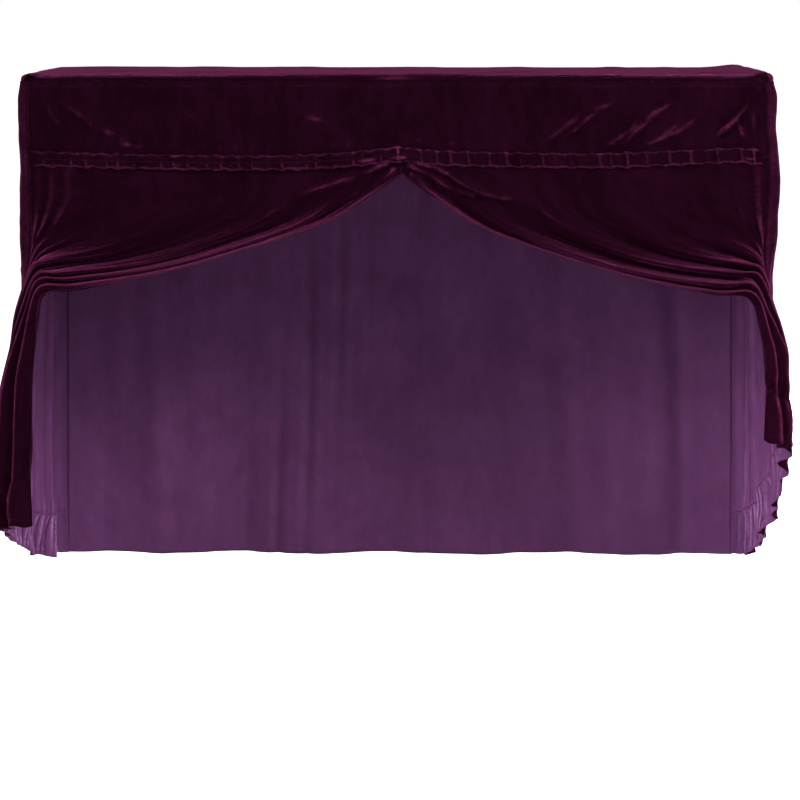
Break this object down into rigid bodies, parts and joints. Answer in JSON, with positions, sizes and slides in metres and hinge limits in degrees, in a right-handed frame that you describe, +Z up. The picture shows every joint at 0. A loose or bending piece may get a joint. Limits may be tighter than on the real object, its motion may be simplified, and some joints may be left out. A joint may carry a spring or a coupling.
{
  "type": "fitted piano cover",
  "caption": "Hollow fitted velvet cover for an upright piano, with a shirred band and two front curtains swept back over the keyboard arms.",
  "frame": {"origin": "centre of the underside of the top panel, where the piano's lid carries the cover", "axes": "+X to the right of someone at the keyboard, +Y towards the back of the piano, +Z up"},
  "size_m": [1.6634, 0.5755, 1.127],
  "materials": {
    "velvet": "crushed aubergine pile velvet"
  },
  "bodies": {
    "root": {"top_panel": "velvet", "front_valance": "velvet", "shirred_band": "velvet", "back_panel": "velvet", "side_panel_left": "velvet", "side_panel_right": "velvet", "side_frill_left": "velvet", "side_frill_right": "velvet", "curtain_left": "velvet", "curtain_right": "velvet", "curtain_frill_left": "velvet", "curtain_frill_right": "velvet"}
  },
  "joints": []
}
